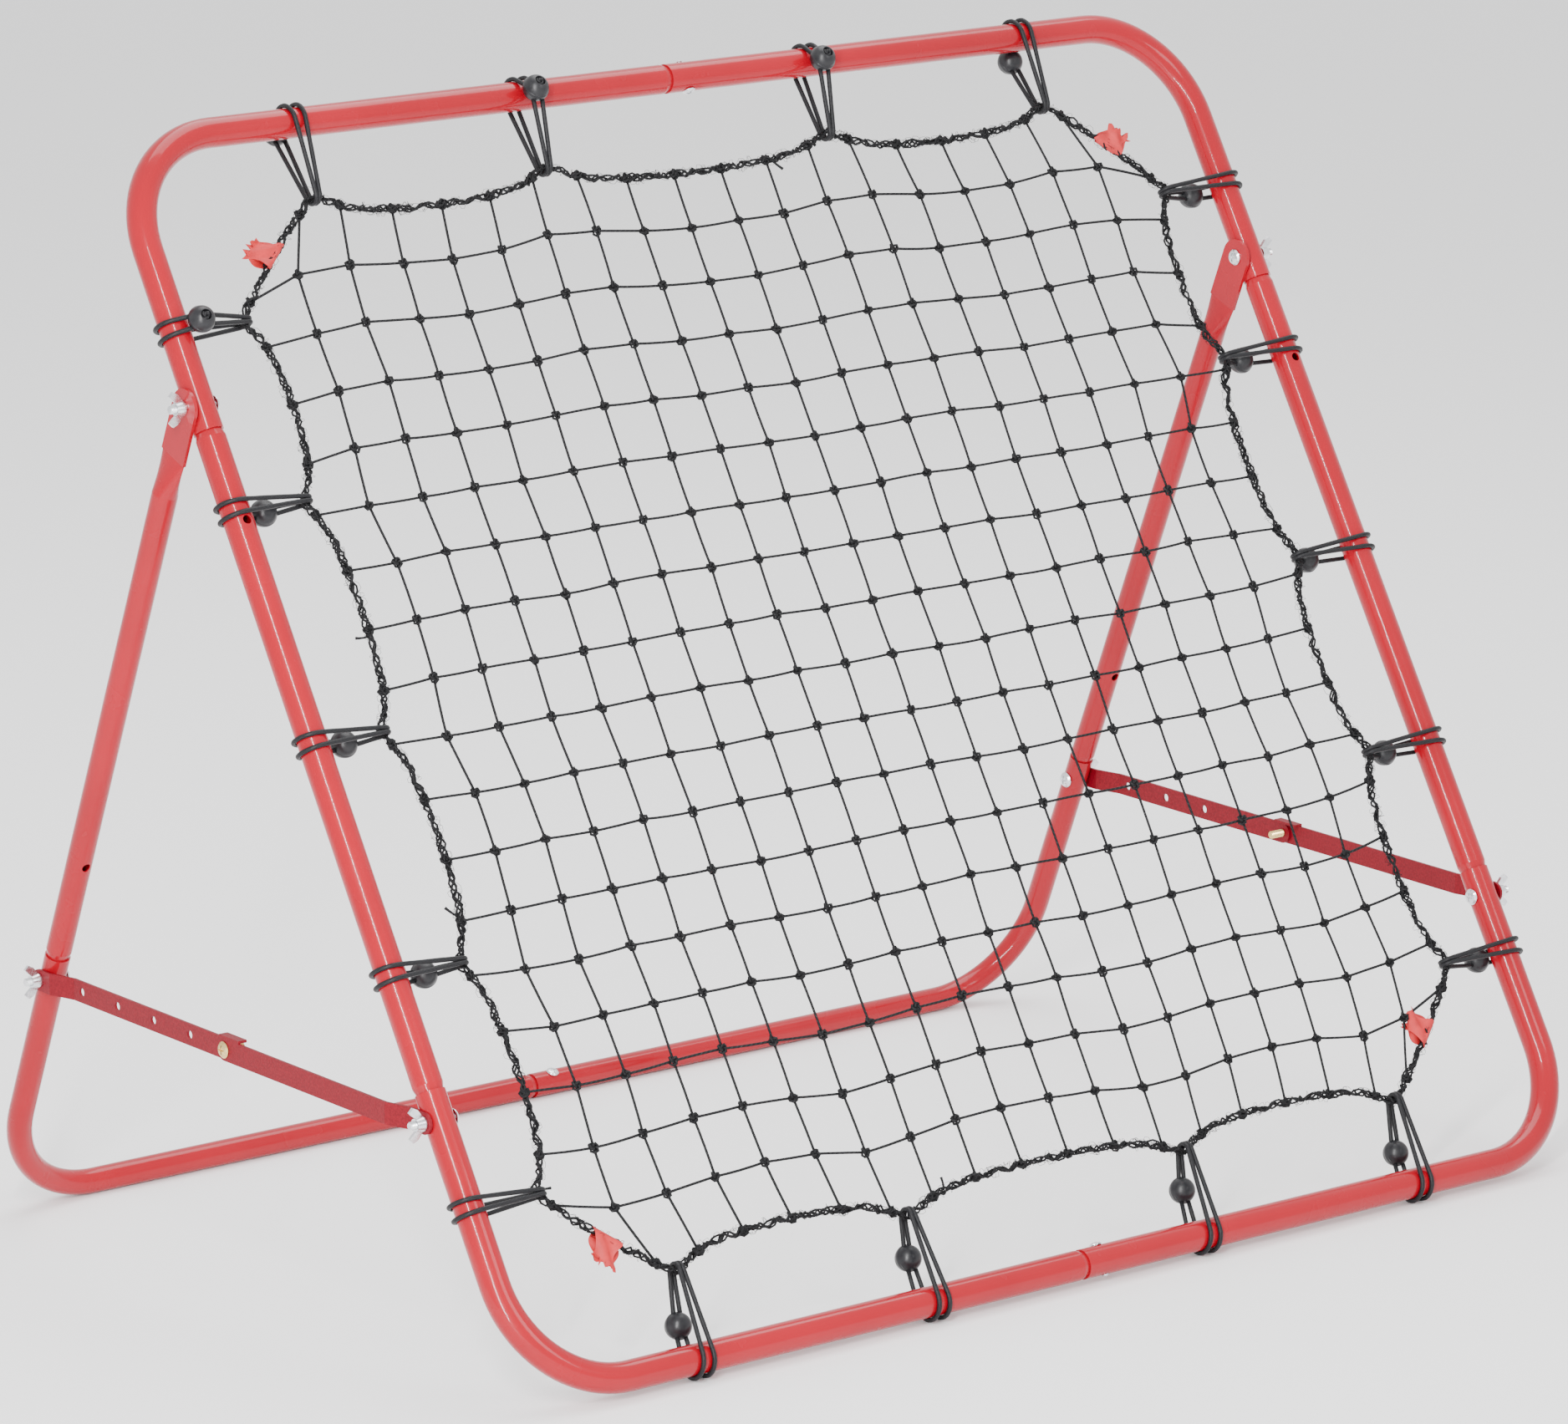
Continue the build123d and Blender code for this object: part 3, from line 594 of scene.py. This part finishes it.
def cornerRuns():
    # distance round the hem to each corner's middle, clockwise from the top left
    steps = hemLine["steps"]
    marks = [0.0]
    passed = 0
    for spans in sideSpans[:3]:
        passed += spans * steps
        marks.append(outlineRun[passed])
    return marks + [hemLength]


cornerMarks = cornerRuns()


def edgeSpots(side, cells):
    start = cornerMarks[side]
    finish = cornerMarks[side + 1]
    return [onHem(start + (finish - start) * k / cells)[0] for k in range(cells + 1)]


def relaxedNet():
    grid = np.zeros((columns + 1, rows + 1, 2))
    top = edgeSpots(0, columns)
    right = edgeSpots(1, rows)
    bottom = edgeSpots(2, columns)[::-1]
    left = edgeSpots(3, rows)[::-1]
    for i in range(columns + 1):
        for j in range(rows + 1):
            across = i / columns
            down = j / rows
            sides = left[j] * (1 - across) + right[j] * across
            ends = top[i] * (1 - down) + bottom[i] * down
            corners = (top[0] * (1 - across) + top[-1] * across) * (1 - down)
            corners = corners + (bottom[0] * (1 - across) + bottom[-1] * across) * down
            grid[i, j] = tuple(sides + ends - corners)
    restAcross = netSet["slack"] * (right[rows // 2].x - left[rows // 2].x) / columns
    restDown = netSet["slack"] * (top[columns // 2].y - bottom[columns // 2].y) / rows
    for turn in range(netSet["turns"]):
        pull = np.zeros_like(grid)
        for axis, rest in ((0, restAcross), (1, restDown)):
            span = np.diff(grid, axis=axis)
            length = np.linalg.norm(span, axis=2, keepdims=True)
            force = span * (1 - rest / length)
            if axis == 0:
                pull[:-1] += force
                pull[1:] -= force
            else:
                pull[:, :-1] += force
                pull[:, 1:] -= force
        grid[1:-1, 1:-1] += netSet["easing"] * pull[1:-1, 1:-1]
    return grid


netGrid = relaxedNet()
knots = {}
for i in range(columns + 1):
    for j in range(rows + 1):
        inside = 0 < i < columns and 0 < j < rows
        drift = netSet["wander"] if inside else 0.0
        u = netGrid[i, j, 0] + random.uniform(-drift, drift)
        v = netGrid[i, j, 1] + random.uniform(-drift, drift)
        w = random.uniform(-drift, drift) * netSet["wanderOut"]
        knots[i, j] = place(u, v, w)


def addThread(store, start, finish):
    # one side of a mesh: nearly straight, a little bowed
    span = finish - start
    most = netSet["bow"]
    bow = frameOut * random.uniform(-most, most) + frameUp * random.uniform(-most, netSet["bowRise"])
    path = [start + span * share + bow * 4 * share * (1 - share) for share in (0, 0.25, 0.5, 0.75, 1)]
    sweepCord(store, path, netSet["threadRadius"], netSet["threadSides"])


def knotPath(size):
    # a thread crossed over itself three times
    path = []
    for step in range(netSet["knotSteps"]):
        turn = 2 * math.pi * step / netSet["knotSteps"]
        reach = size * (2 + math.cos(3 * turn)) / 3
        lift = size * netSet["knotThick"] * math.sin(3 * turn)
        path.append(Vector((reach * math.cos(2 * turn), reach * math.sin(2 * turn), lift)))
    return path


def addKnot(store, middle, size, radius):
    turn = random.uniform(0, 2 * math.pi)
    side = frameAcross * math.cos(turn) + frameUp * math.sin(turn)
    other = frameUp * math.cos(turn) - frameAcross * math.sin(turn)
    stretch = random.uniform(0.85, 1.2)
    path = [middle + side * spot.x * stretch + other * spot.y + frameOut * spot.z for spot in knotPath(size)]
    sweepCord(store, path, radius, 4, closed=True)


netStore = newStore()
for i in range(columns + 1):
    for j in range(rows + 1):
        if i < columns and 0 < j < rows:
            addThread(netStore, knots[i, j], knots[i + 1, j])
        if j < rows and 0 < i < columns:
            addThread(netStore, knots[i, j], knots[i, j + 1])
        if 0 < i < columns and 0 < j < rows:
            addKnot(netStore, knots[i, j], netSet["knotSize"], netSet["threadRadius"] * 1.15)
netPiece = pieceFrom(netStore, "meshNet", twine, "front_frame", ("net",))
print("stage: net,", len(netPiece.data.polygons), "faces")

# hem: loose yarns worked round each other
yarnSet = {
    "radius": 0.00078,
    "step": 0.0028,               # between rings along the hem
    # way round the hem line, turn length, reach from the line
    "yarns": (
        (0.0, 0.0150, 0.0021), (2.1, 0.0170, 0.0025), (4.2, 0.0150, 0.0020),
        (1.0, -0.0210, 0.0026), (3.6, -0.0260, 0.0022),
    ),
    "sides": 5,
    "swell": (0.75, 0.35, 0.25),  # reach from the line: least, between knots, and by chance
    "sway": 0.6,                  # a yarn's turn runs ahead or behind by this much
    "lift": 0.0004,
    "waves": (97, 61, 143),       # how often swell, sway and lift come round
    "fuzzCount": 2600,
    "fuzzRadius": 0.00016,
    "fuzzFoot": 0.0015,
    "fuzzReach": (0.0014, 0.0042),
    "fuzzSlide": 0.007,
    "knots": ((1.0, 0.0010), (0.8, 0.0009)),                 # share of the size, yarn radius
    "stubs": (0.148, 0.232, 0.655, 0.771, 0.835, 0.902),     # shares of the way round
    "stubLength": (0.009, 0.013),
    "stubRadii": [0.0009, 0.0009, 0.0009, 0.0010, 0.0012],
    "stubsOut": 0.7,              # chance that a stub points away from the net
}


def hemFrame(distance):
    spot, way = onHem(distance)
    # place on the hem, the way out of its line, and the way along it
    outWay = frameAcross * way.y - frameUp * way.x
    alongWay = frameAcross * way.x + frameUp * way.y
    return place(spot.x, spot.y), outWay, alongWay


random.seed(5)
hemStore = newStore()
hemRings = int(hemLength / yarnSet["step"])
knotGap = hemLength / (2 * (columns + rows))
least, between, chance = yarnSet["swell"]
swellWave, swayWave, liftWave = [2 * math.pi * wave for wave in yarnSet["waves"]]
for phase, pitch, reach in yarnSet["yarns"]:
    turns = round(hemLength / abs(pitch)) * (1 if pitch > 0 else -1)
    path = []
    wobble = [random.uniform(0, 2 * math.pi) for number in range(3)]
    for number in range(hemRings):
        share = number / hemRings
        distance = share * hemLength
        middle, out, way = hemFrame(distance)
        openness = 0.5 + 0.5 * math.cos(2 * math.pi * distance / knotGap)
        swell = least + between * openness + chance * math.sin(share * swellWave + wobble[0])
        sway = yarnSet["sway"] * math.sin(share * swayWave + wobble[1])
        turn = phase + 2 * math.pi * turns * share + sway
        lift = yarnSet["lift"] * math.sin(share * liftWave + wobble[2])
        side = out * math.cos(turn) + frameOut * math.sin(turn)
        path.append(middle + side * (reach * swell) + out * lift)
    sweepCord(hemStore, path, yarnSet["radius"], yarnSet["sides"], closed=True)
# stray fibres, each a low loop off the hem
for number in range(yarnSet["fuzzCount"]):
    distance = random.uniform(0, hemLength)
    middle, out, way = hemFrame(distance)
    turn = random.uniform(0, 2 * math.pi)
    aim = out * math.cos(turn) + frameOut * math.sin(turn)
    start = middle + aim * yarnSet["fuzzFoot"]
    reach = random.uniform(*yarnSet["fuzzReach"])
    slide = random.uniform(-yarnSet["fuzzSlide"], yarnSet["fuzzSlide"])
    path = [
        start, start + aim * reach + way * slide * 0.4,
        start + aim * reach * 0.9 + way * slide, start + aim * 0.0004 + way * slide * 1.5,
    ]
    sweepCord(hemStore, path, yarnSet["fuzzRadius"], 3)
for i in range(columns + 1):
    for j in range(rows + 1):
        onEdge = i in (0, columns) or j in (0, rows)
        atCorner = i in (0, columns) and j in (0, rows)
        if onEdge and not atCorner:
            for part, yarn in yarnSet["knots"]:
                addKnot(hemStore, knots[i, j], netSet["hemKnotSize"] * part, yarn)
# cut ends left at a few knots
for share in yarnSet["stubs"]:
    middle, out, way = hemFrame(share * hemLength)
    lean = random.uniform(-0.6, 0.6)
    aim = (-out + way * lean).normalized()
    if random.random() < yarnSet["stubsOut"]:
        aim = (out + way * lean).normalized()
    length = random.uniform(*yarnSet["stubLength"])
    path = [middle + aim * length * part + way * 0.002 * part * part for part in (0, 0.3, 0.6, 0.85, 1)]
    sweepCord(hemStore, path, yarnSet["stubRadii"], 6)
hemPiece = pieceFrom(hemStore, "netHem", hemYarn, "front_frame", ("net_hem_cord",))
print("stage: hem,", len(hemPiece.data.polygons), "faces")

# bungees: doubled elastic round the tube and the hem, ends in a ball
bungeeSet = {
    "cord": 0.0035,
    "ball": 0.0195,
    "hem": 0.0050,
    "gap": 0.0004,
    "eyeGap": 0.0022,
    "spread": 0.0045,             # strand to bungee's middle, on the tube
    "close": 0.0018,              # and at the hem
    "socket": 0.0035,             # strand end below the ball's skin
    "arcStep": 0.16,
    "cordSides": 10,
    "cordVaries": (0.95, 1.03),
    # each bungee: shift of its tube end along the tube, ball's angle round the tube from the
    # net's side in degrees, its stand-off from the tube, and before (+1) or behind (-1) the frame
    "top": (
        (0.002, 96, 0.0005, -1),
        (0.0, 82, 0.0005, 1),
        (0.003, 74, 0.0005, 1),
        (0.0, 53, 0.0003, -1),
    ),
    "bottom": (
        (-0.006, 27, 0.0100, -1),
        (-0.003, 21, 0.0175, -1),
        (-0.008, 20, 0.0190, -1),
        (-0.007, 27, 0.0095, -1),
    ),
    "left": (
        (0.0, 53, 0.0003, -1),
        (0.0, 21, 0.0175, -1),
        (0.0, 22, 0.0155, -1),
        (0.0, 24, 0.0140, -1),
        (0.0, 61, 0.0015, 1),
    ),
    "right": (
        (0.0, 53, 0.0003, -1),
        (0.0, 24, 0.0140, -1),
        (0.0, 22, 0.0200, -1),
        (0.0, 24, 0.0140, -1),
        (0.0, 40, 0.0050, -1),
    ),
}
# the ball's moulding and the knot in its recess, as shares of the ball's radius or size
ballSet = {
    "segments": 32, "rings": 20,
    "recessFrom": 0.90, "recessRim": 0.05, "recessDeep": 0.42, "recessFloor": 0.03,
    "ridgeHalf": 0.10, "ridgeInset": 0.035, "ridgeRise": 0.03,
    "edge": 0.03,
    "knotSeat": 0.36,
    "knotSize": 0.0036, "knotShare": 0.8, "knotCord": 0.0012,
    "endFoot": (0.0011, 0.0004), "endSteps": (0.0016, 0.0030), "endTip": 0.00105,
}
bungeeSides = {
    "top": (topTies, (1, 0)),
    "right": (rightTies, (0, 1)),
    "bottom": (bottomTies, (1, 0)),
    "left": (leftTies, (0, 1)),
}


def railPoint(side, tie, shift):
    if side == "top":
        return Vector((tie[0] + shift, lineHeight))
    if side == "bottom":
        return Vector((tie[0] + shift, 0.0))
    return Vector((math.copysign(halfWidth, tie[0]), tie[1] + shift))


def outerTangent(first, second):
    # straight run from one round to the next, with the rounds on its left
    ax, ay, ar = first
    bx, by, br = second
    gap = math.hypot(bx - ax, by - ay)
    aim = math.atan2(by - ay, bx - ax) - math.acos((ar - br) / gap)
    leave = (ax + ar * math.cos(aim), ay + ar * math.sin(aim))
    reach = (bx + br * math.cos(aim), by + br * math.sin(aim))
    return leave, reach, aim


def arcPoints(circle, start, finish):
    turn = (finish - start) % (2 * math.pi)
    steps = max(3, int(turn / bungeeSet["arcStep"]))
    x, y, radius = circle
    angles = [start + turn * k / steps for k in range(steps + 1)]
    return [(x + radius * math.cos(angle), y + radius * math.sin(angle)) for angle in angles]


def runPoints(start, finish, count):
    # the points between two ends
    stepX = (finish[0] - start[0]) / count
    stepY = (finish[1] - start[1]) / count
    return [(start[0] + stepX * k, start[1] + stepY * k) for k in range(1, count)]


# one strand: ball, round the tube, round the hem, back to the ball; and the ways it enters
def strandPath(tubeAt, hemAt, along, hand, ballAngle, ballOff, front):
    start = tubeAt + along * hand * bungeeSet["spread"]
    finish = hemAt + along * hand * bungeeSet["close"]
    way = (finish - start).normalized()
    cord = bungeeSet["cord"]
    rim = (0.0, 0.0, tubeRadius + cord / 2 + bungeeSet["gap"] / 2)
    eyeRadius = bungeeSet["hem"] / 2 + cord / 2 + bungeeSet["eyeGap"]
    eye = ((finish - start).length + hemLine["sink"], 0.0, eyeRadius)
    ballOut = tubeRadius + bungeeSet["ball"] / 2 + bungeeSet["gap"] + ballOff
    ball = (ballOut * math.cos(ballAngle), ballOut * math.sin(ballAngle), 0.0)
    rimReach, rimIn = outerTangent(ball, rim)[1:]
    rimLeave, eyeReach, rimOut = outerTangent(rim, eye)
    eyeLeave, eyeOut = outerTangent(eye, ball)[::2]
    into = Vector((rimReach[0] - ball[0], rimReach[1] - ball[1])).normalized()
    back = Vector((eyeLeave[0] - ball[0], eyeLeave[1] - ball[1])).normalized()
    depth = bungeeSet["ball"] / 2 - bungeeSet["socket"]
    head = (ball[0] + into.x * depth, ball[1] + into.y * depth)
    tail = (ball[0] + back.x * depth, ball[1] + back.y * depth)
    flat = [head] + runPoints(head, rimReach, 3) + arcPoints(rim, rimIn, rimOut)
    flat += runPoints(rimLeave, eyeReach, 6) + arcPoints(eye, rimOut, eyeOut)
    flat += runPoints(eyeLeave, tail, 6) + [tail]

    def lifted(x, y):
        spot = start + way * x
        return place(spot.x, spot.y, y * front)

    ballMiddle = lifted(ball[0], ball[1])
    intoWay = (lifted(ball[0] + into.x, ball[1] + into.y) - ballMiddle).normalized()
    backWay = (lifted(ball[0] + back.x, ball[1] + back.y) - ballMiddle).normalized()
    return [lifted(x, y) for x, y in flat], ballMiddle, intoWay, backWay


def modelBall():
    # ball with a moulding ridge and a deep recess at its pole, where the knot sits
    radius = bungeeSet["ball"] / 2
    bpy.ops.object.select_all(action="DESELECT")
    bpy.ops.mesh.primitive_uv_sphere_add(
        segments=ballSet["segments"], ring_count=ballSet["rings"], radius=radius, location=(0, 0, 0)
    )
    ball = bpy.context.object
    bpy.ops.object.mode_set(mode="EDIT")
    bpy.ops.mesh.select_all(action="DESELECT")
    bpy.ops.object.mode_set(mode="OBJECT")
    for face in ball.data.polygons:
        face.select = face.center.z > radius * ballSet["recessFrom"]
    bpy.ops.object.mode_set(mode="EDIT")
    bpy.ops.mesh.dissolve_faces()
    bpy.ops.mesh.inset(thickness=radius * ballSet["recessRim"])
    sunk = (0, 0, -radius * ballSet["recessDeep"])
    bpy.ops.mesh.extrude_region_move(TRANSFORM_OT_translate={"value": sunk})
    bpy.ops.mesh.inset(thickness=radius * ballSet["recessFloor"])
    bpy.ops.mesh.select_all(action="DESELECT")
    bpy.ops.object.mode_set(mode="OBJECT")
    for face in ball.data.polygons:
        nearMiddle = abs(face.center.z) < radius * ballSet["ridgeHalf"]
        face.select = nearMiddle and abs(face.normal.z) < 0.3
    bpy.ops.object.mode_set(mode="EDIT")
    bpy.ops.mesh.inset(thickness=radius * ballSet["ridgeInset"], depth=radius * ballSet["ridgeRise"])
    bpy.ops.object.mode_set(mode="OBJECT")
    soften = ball.modifiers.new("soften", "BEVEL")
    soften.width = radius * ballSet["edge"]
    soften.segments = 2
    soften.limit_method = "ANGLE"
    bpy.ops.object.modifier_apply(modifier="soften")
    bpy.ops.object.shade_smooth_by_angle(angle=math.radians(35))
    return ball


def turnTo(aim):
    return aim.to_track_quat("Z", "Y").to_matrix().to_4x4()


def joinedPiece(parts, name, finish, body, replaced):
    bpy.ops.object.select_all(action="DESELECT")
    for part in parts:
        part.select_set(True)
    bpy.context.view_layer.objects.active = parts[0]
    bpy.ops.object.join()
    piece = bpy.context.object
    piece.name = name
    piece.data.materials.clear()
    piece.data.materials.append(finish)
    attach(piece, body)
    if replaced:
        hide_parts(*replaced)
    return piece


ballMaster = modelBall()
random.seed(23)
for side, (ties, along) in bungeeSides.items():
    cordStore = newStore()
    balls = []
    for tie, (shift, ballTurn, ballOff, front) in zip(ties, bungeeSet[side]):
        middles = []
        ways = []
        for hand in (-1, 1):
            path, middle, into, back = strandPath(
                railPoint(side, tie, shift), Vector(tie), Vector(along), hand,
                math.radians(ballTurn), ballOff, front
            )
            radii = [bungeeSet["cord"] / 2 * random.uniform(*bungeeSet["cordVaries"]) for spot in path]
            sweepCord(cordStore, path, radii, bungeeSet["cordSides"])
            middles.append(middle)
            ways += [into, back]
        centre = (middles[0] + middles[1]) / 2
        away = -(ways[0] + ways[1] + ways[2] + ways[3]).normalized()
        ball = ballMaster.copy()
        ball.data = ballMaster.data.copy()
        bpy.context.scene.collection.objects.link(ball)
        ball.data.transform(Matrix.Translation(centre) @ turnTo(away))
        balls.append(ball)
        # the knot that fills the recess, with two cut ends
        knotMiddle = centre + away * bungeeSet["ball"] * ballSet["knotSeat"]
        knotCord = ballSet["knotCord"]
        lay = turnTo(away)
        knotLine = [
            knotMiddle + (lay @ (spot * ballSet["knotShare"])) for spot in knotPath(ballSet["knotSize"])
        ]
        sweepCord(cordStore, knotLine, knotCord, 8, closed=True)
        footAside, footAlong = ballSet["endFoot"]
        for hand in (-1, 1):
            foot = knotMiddle + (lay @ Vector((footAside * hand, footAlong, 0.0)))
            endLine = [foot] + [foot + away * step for step in ballSet["endSteps"]]
            sweepCord(cordStore, endLine, [knotCord, knotCord, ballSet["endTip"]], 8)
    joinedPiece(
        balls, side + "BungeeBalls", plastic, "front_frame", (side + "_bungee_balls",)
    )
    pieceFrom(
        cordStore, side + "BungeeCords", elastic, "front_frame", (side + "_bungee_cords",)
    )
bpy.data.objects.remove(ballMaster)
print("stage: bungees")

# tags: short tape folded over the hem at each corner
tagSet = {
    "width": 0.020, "length": 0.023, "thick": 0.0005,
    "across": 10, "along": 16,    # squares each way, on one leaf
    "fray": 0.0034,
    "bend": 0.0036,               # fold round the hem
    "bendTurn": 1.2,
    "seat": 0.001,                # moved out from the hem's middle
    "skew": 0.35,
    "closing": 0.22,              # how fast the two leaves come together
    "ripple": 0.0012,
    "bulge": 0.25,
    "netSide": 2,                 # the corner where the tag hangs towards the net
}


def modelTag(name, corner):
    middle, out, way = hemFrame(cornerMarks[corner])
    toNet = out.dot(place(0, lineHeight / 2) - middle) > 0
    if toNet != (corner == tagSet["netSide"]):
        out = -out
    bpy.ops.object.select_all(action="DESELECT")
    bpy.ops.mesh.primitive_grid_add(
        x_subdivisions=tagSet["across"], y_subdivisions=tagSet["along"] * 2, size=1, location=(0, 0, 0)
    )
    piece = bpy.context.object
    piece.name = name
    bend = tagSet["bend"]
    bendTurn = tagSet["bendTurn"]
    skew = random.uniform(-tagSet["skew"], tagSet["skew"])
    for vert in piece.data.vertices:
        across = vert.co.x
        share = vert.co.y * 2
        reach = abs(share) * tagSet["length"]
        leaf = 1 if share > 0 else -1
        if reach < bend * bendTurn:
            turn = share * tagSet["length"] / bend
            x = -bend * math.cos(turn)
            z = bend * math.sin(turn)
        else:
            past = reach - bend * bendTurn
            x = -bend * math.cos(bendTurn) + past
            z = leaf * (bend * math.sin(bendTurn) - past * tagSet["closing"])
            z += tagSet["ripple"] * math.sin(7 * across + 3 * leaf + reach * 300)
        if abs(share) > 0.97:
            x += random.uniform(-1, 1) * tagSet["fray"]
        y = across * tagSet["width"] * (1 + tagSet["bulge"] * math.sin(reach * 250 + leaf)) + skew * reach
        vert.co = middle + out * (x + tagSet["seat"]) + way * y + frameOut * z
    wall = piece.modifiers.new("wall", "SOLIDIFY")
    wall.thickness = tagSet["thick"]
    wall.offset = 0
    bpy.ops.object.modifier_apply(modifier="wall")
    bpy.ops.object.shade_smooth_by_angle(angle=math.radians(50))
    return piece


random.seed(31)
tags = [modelTag("tag" + str(corner), corner) for corner in range(4)]
joinedPiece(tags, "cornerTags", tape, "front_frame", ("net_corner_tags",))
print("stage: tags")

print("stage: done")
